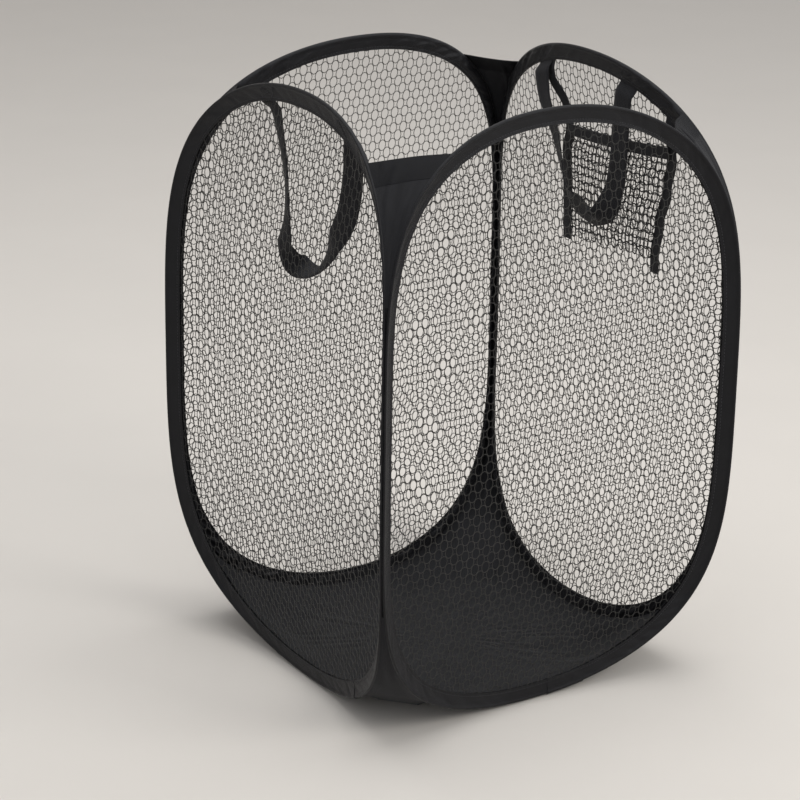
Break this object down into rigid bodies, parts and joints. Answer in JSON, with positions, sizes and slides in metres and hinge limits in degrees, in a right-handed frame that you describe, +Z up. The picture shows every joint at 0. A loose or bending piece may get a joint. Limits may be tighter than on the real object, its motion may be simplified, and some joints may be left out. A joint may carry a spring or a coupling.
{
  "type": "pop-up laundry hamper",
  "caption": "Open-topped collapsible laundry hamper of bowed spring-wire frames with mesh sides, cloth corner gussets, a fabric floor, webbing handles and a mesh side pouch.",
  "frame": {"origin": "middle of the footprint, at the underside of the bottom", "axes": "+Z up, +X towards the panel with the pouch, -Y towards the front panel"},
  "size_m": [0.4178, 0.4178, 0.6011],
  "materials": {
    "binding_tape": "charcoal black polyester grosgrain tape, soft sheen",
    "panel_net": "black polyester mesh with staggered oval holes",
    "gusset_cloth": "thin dark grey nylon cloth, slightly see-through",
    "hem_cloth": "folded dark grey nylon cloth, stitched",
    "bottom_cloth": "black nylon cloth",
    "webbing": "black woven polypropylene webbing",
    "pouch_net": "black polyester mesh with staggered oval holes",
    "pouch_tape": "black folded nylon tape, stitched",
    "spring_wire": "tempered round spring wire",
    "ferrule_metal": "plated crimp sleeve"
  },
  "bodies": {
    "front_panel": {"wire_loop_front": "spring_wire", "wire_ferrule_front": "ferrule_metal", "binding_front": "binding_tape", "binding_lap_front": "binding_tape", "net_front": "panel_net", "upper_gusset_front_right": "gusset_cloth", "gusset_hem_front_right": "hem_cloth", "corner_seam_front_right": "hem_cloth", "lower_gusset_front_right": "gusset_cloth", "upper_gusset_left_front": "gusset_cloth", "gusset_hem_left_front": "hem_cloth", "corner_seam_left_front": "hem_cloth", "lower_gusset_left_front": "gusset_cloth"},
    "right_panel": {"wire_loop_right": "spring_wire", "wire_ferrule_right": "ferrule_metal", "binding_right": "binding_tape", "binding_lap_right": "binding_tape", "net_right": "panel_net", "upper_gusset_right_back": "gusset_cloth", "gusset_hem_right_back": "hem_cloth", "corner_seam_right_back": "hem_cloth", "lower_gusset_right_back": "gusset_cloth", "handle_anchor_right_a": "webbing", "handle_anchor_right_b": "webbing", "pouch_mesh": "pouch_net", "pouch_hem": "pouch_tape", "pouch_tape_a": "pouch_tape", "pouch_tape_b": "pouch_tape"},
    "back_panel": {"wire_loop_back": "spring_wire", "wire_ferrule_back": "ferrule_metal", "binding_back": "binding_tape", "binding_lap_back": "binding_tape", "net_back": "panel_net"},
    "left_panel": {"wire_loop_left": "spring_wire", "wire_ferrule_left": "ferrule_metal", "binding_left": "binding_tape", "binding_lap_left": "binding_tape", "net_left": "panel_net", "handle_anchor_left_a": "webbing", "handle_anchor_left_b": "webbing"},
    "bottom_front": {"bottom_front_half": "bottom_cloth"},
    "bottom_back": {"bottom_back_half": "bottom_cloth"},
    "back_left_cloth_upper": {"upper_gusset_back_left": "gusset_cloth", "gusset_hem_back_left": "hem_cloth"},
    "back_left_cloth_lower": {"corner_seam_back_left": "hem_cloth", "lower_gusset_back_left": "gusset_cloth"},
    "handle_right": {"handle_strap_right": "webbing"},
    "handle_left": {"handle_strap_left": "webbing"}
  },
  "joints": [
    {"name": "right_fold", "type": "hinge", "parent": "front_panel", "child": "right_panel", "pos_m": [0.207, -0.207, 0.3], "axis": [0, 0, 1], "range_deg": [-28, 28], "deforming": ["upper_gusset_front_right", "gusset_hem_front_right", "corner_seam_front_right", "lower_gusset_front_right", "bottom_front_half", "bottom_back_half"]},
    {"name": "left_fold", "type": "hinge", "parent": "front_panel", "child": "left_panel", "pos_m": [-0.207, -0.207, 0.3], "axis": [0, 0, 1], "range_deg": [-28, 28], "deforming": ["upper_gusset_left_front", "gusset_hem_left_front", "corner_seam_left_front", "lower_gusset_left_front", "bottom_front_half", "bottom_back_half"]},
    {"name": "back_fold", "type": "hinge", "parent": "right_panel", "child": "back_panel", "pos_m": [0.207, 0.207, 0.3], "axis": [0, 0, 1], "range_deg": [-28, 28], "deforming": ["upper_gusset_right_back", "gusset_hem_right_back", "corner_seam_right_back", "lower_gusset_right_back", "upper_gusset_back_left", "gusset_hem_back_left", "corner_seam_back_left", "lower_gusset_back_left", "bottom_front_half", "bottom_back_half"]},
    {"name": "bottom_front_shift", "type": "slide", "parent": "front_panel", "child": "bottom_front", "axis": [1, 0, 0], "range_m": [-0.0975, 0.0975], "deforming": ["bottom_front_half"]},
    {"name": "bottom_back_shift", "type": "slide", "parent": "back_panel", "child": "bottom_back", "axis": [1, 0, 0], "range_m": [-0.0975, 0.0975], "deforming": ["bottom_back_half"]},
    {"name": "left_corner_fold", "type": "hinge", "parent": "left_panel", "child": "back_left_cloth_upper", "pos_m": [-0.207, 0.207, 0.3], "axis": [0, 0, 1], "range_deg": [-14, 14], "deforming": ["upper_gusset_back_left", "gusset_hem_back_left"]},
    {"name": "back_corner_fold", "type": "hinge", "parent": "back_panel", "child": "back_left_cloth_lower", "pos_m": [-0.207, 0.207, 0.3], "axis": [0, 0, 1], "range_deg": [-14, 14], "deforming": ["corner_seam_back_left", "lower_gusset_back_left"]},
    {"name": "right_handle_swing", "type": "hinge", "parent": "right_panel", "child": "handle_right", "pos_m": [0.16624, 0.02, 0.5771], "axis": [0, 1, 0], "range_deg": [0, 140]},
    {"name": "left_handle_swing", "type": "hinge", "parent": "left_panel", "child": "handle_left", "pos_m": [-0.16624, -0.02, 0.5771], "axis": [0, -1, 0], "range_deg": [0, 140]}
  ],
  "couplings": [
    {"joint": "left_fold", "follows": "right_fold", "ratio": 1},
    {"joint": "back_fold", "follows": "right_fold", "ratio": -1},
    {"joint": "bottom_front_shift", "follows": "right_fold", "m_per_rad": -0.1989},
    {"joint": "bottom_back_shift", "follows": "right_fold", "m_per_rad": 0.1989},
    {"joint": "left_corner_fold", "follows": "right_fold", "ratio": -0.5},
    {"joint": "back_corner_fold", "follows": "right_fold", "ratio": 0.5}
  ]
}
